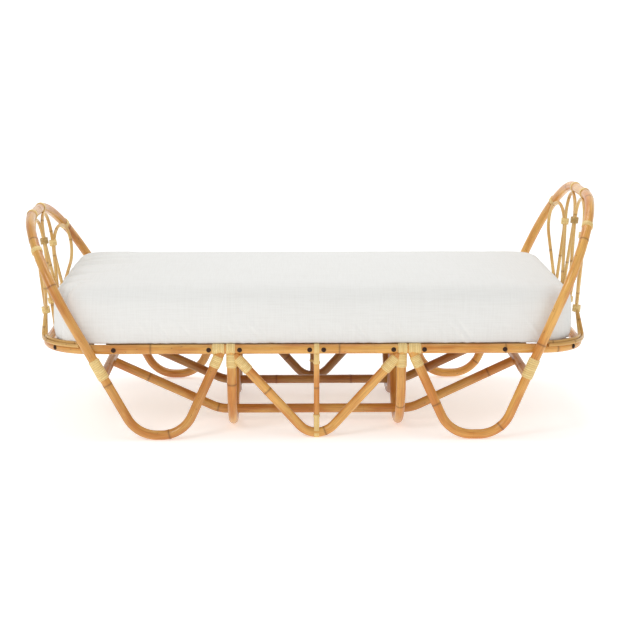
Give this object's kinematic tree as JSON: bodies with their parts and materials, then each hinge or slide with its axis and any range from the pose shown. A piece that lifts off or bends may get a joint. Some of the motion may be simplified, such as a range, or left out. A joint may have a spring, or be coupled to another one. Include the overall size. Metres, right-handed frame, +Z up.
{
  "type": "daybed",
  "caption": "Rattan daybed with a raised bent-pole arch at each end, looped pole legs, a slatted base and a single mattress in a fitted sheet.",
  "frame": {"origin": "on the floor, under the middle of the object's box", "axes": "+X from the low foot arch to the high head arch, -Y is the front long side, +Z up"},
  "size_m": [2.1462, 1.0318, 0.8779],
  "materials": {
    "cane_pole": "satin",
    "thin_cane": "satin",
    "cane_peel": "satin",
    "base_wood": "matte",
    "dark_bolt": "satin",
    "zinc_steel": "satin",
    "mattress_ticking": "matte",
    "linen_sheet": "matte"
  },
  "bodies": {
    "frame": {"foot_end_rail": "cane_pole", "head_end_rail": "cane_pole", "front_centre_rail": "cane_pole", "rear_centre_rail": "cane_pole", "foot_arch_pole": "cane_pole", "head_arch_pole": "cane_pole", "front_v_leg": "cane_pole", "rear_v_leg": "cane_pole", "front_v_rod": "cane_pole", "rear_v_rod": "cane_pole", "foot_front_hoop": "cane_pole", "foot_rear_hoop": "cane_pole", "head_front_hoop": "cane_pole", "head_rear_hoop": "cane_pole", "front_stretcher": "cane_pole", "rear_stretcher": "cane_pole", "foot_cross_bar": "cane_pole", "head_cross_bar": "cane_pole", "foot_loop_1": "thin_cane", "foot_loop_2": "thin_cane", "foot_loop_3": "thin_cane", "foot_loop_4": "thin_cane", "head_loop_1": "thin_cane", "head_loop_2": "thin_cane", "head_loop_3": "thin_cane", "head_loop_4": "thin_cane", "front_ledger": "base_wood", "rear_ledger": "base_wood", "foot_hoop_bar": "cane_pole", "head_hoop_bar": "cane_pole", "foot_corner_blocks": "base_wood", "head_corner_blocks": "base_wood", "slats": "base_wood", "slat_screws": "zinc_steel", "rail_dowels": "base_wood", "rail_bolts": "dark_bolt", "bolt_nuts": "zinc_steel", "leg_wraps": "cane_peel", "leg_top_wraps": "cane_peel", "leg_bands": "cane_peel", "joint_bands": "cane_peel", "hoop_wraps": "cane_peel", "v_wraps": "cane_peel", "rod_top_straps": "cane_peel", "rod_foot_straps": "cane_peel", "foot_arch_bands": "cane_peel", "head_arch_bands": "cane_peel", "foot_loop_ties": "cane_peel", "head_loop_ties": "cane_peel"},
    "mattress": {"mattress": "mattress_ticking", "fitted_sheet": "linen_sheet"}
  },
  "joints": [
    {"name": "mattress_lift", "type": "slide", "parent": "frame", "child": "mattress", "axis": [0, 0, 1], "range_m": [0, 0.35]}
  ]
}
